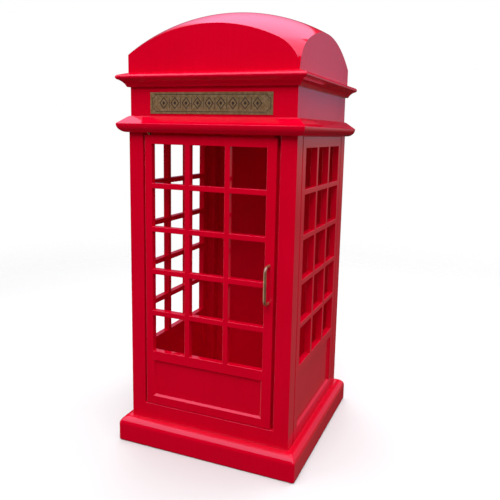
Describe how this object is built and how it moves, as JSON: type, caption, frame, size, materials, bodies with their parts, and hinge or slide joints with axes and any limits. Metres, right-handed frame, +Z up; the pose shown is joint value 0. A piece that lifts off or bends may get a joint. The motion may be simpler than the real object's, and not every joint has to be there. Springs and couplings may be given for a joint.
{
  "type": "telephone booth",
  "caption": "Red lacquered wooden telephone booth with a vaulted roof, open glazing-bar frames, a hinged front door with a bow handle, and a brass name plate.",
  "frame": {"origin": "centre of the plinth's footprint, on the floor", "axes": "+Z up, the door faces -Y, +X to the right seen from the front"},
  "size_m": [0.528, 0.53, 1.1975],
  "materials": {
    "lacquer": "gloss red lacquer on wood",
    "inside_lacquer": "satin red lacquer on wood",
    "bare_wood": "sawn softwood",
    "antique_brass": "aged, finely brushed",
    "brass": "turned",
    "steel": "zinc plated"
  },
  "bodies": {
    "root": {"back_panel": "lacquer", "base_cleats": "bare_wood", "carcass_screws": "steel", "catch_magnets": "steel", "ceiling_board": "inside_lacquer", "cornice_back": "lacquer", "cornice_front": "lacquer", "cornice_left": "lacquer", "cornice_right": "lacquer", "door_stop": "inside_lacquer", "floor_board": "inside_lacquer", "frieze_back": "lacquer", "frieze_front": "lacquer", "frieze_left": "lacquer", "frieze_right": "lacquer", "gable_back": "lacquer", "gable_front": "lacquer", "gable_left": "lacquer", "gable_right": "lacquer", "left_window_bars": "lacquer", "left_window_panel": "lacquer", "left_window_rails": "lacquer", "left_window_stiles": "lacquer", "left_window_uprights": "lacquer", "moulding_back": "lacquer", "moulding_front": "lacquer", "moulding_left": "lacquer", "moulding_right": "lacquer", "name_plate": "antique_brass", "pivot_bushes": "brass", "plinth_back": "lacquer", "plinth_front": "lacquer", "plinth_left": "lacquer", "plinth_right": "lacquer", "post_back_left": "lacquer", "post_back_right": "lacquer", "post_front_left": "lacquer", "post_front_right": "lacquer", "right_window_bars": "lacquer", "right_window_panel": "lacquer", "right_window_rails": "lacquer", "right_window_stiles": "lacquer", "right_window_uprights": "lacquer", "roof_base": "bare_wood", "roof_blocks": "bare_wood", "roof_dome": "lacquer", "sill_rail": "lacquer"},
    "door": {"door_bars": "lacquer", "door_bottom_rail": "lacquer", "door_handle": "antique_brass", "door_hinge_stile": "lacquer", "door_lock_stile": "lacquer", "door_mid_rail": "lacquer", "door_panel": "lacquer", "door_top_rail": "lacquer", "door_uprights": "lacquer", "handle_screws": "steel", "strike_discs": "steel", "pivot_pins": "brass"}
  },
  "joints": [
    {"name": "door_hinge", "type": "hinge", "parent": "root", "child": "door", "pos_m": [-0.177, -0.226, 0.1155], "axis": [0, 0, -1], "range_deg": [0, 110]}
  ]
}
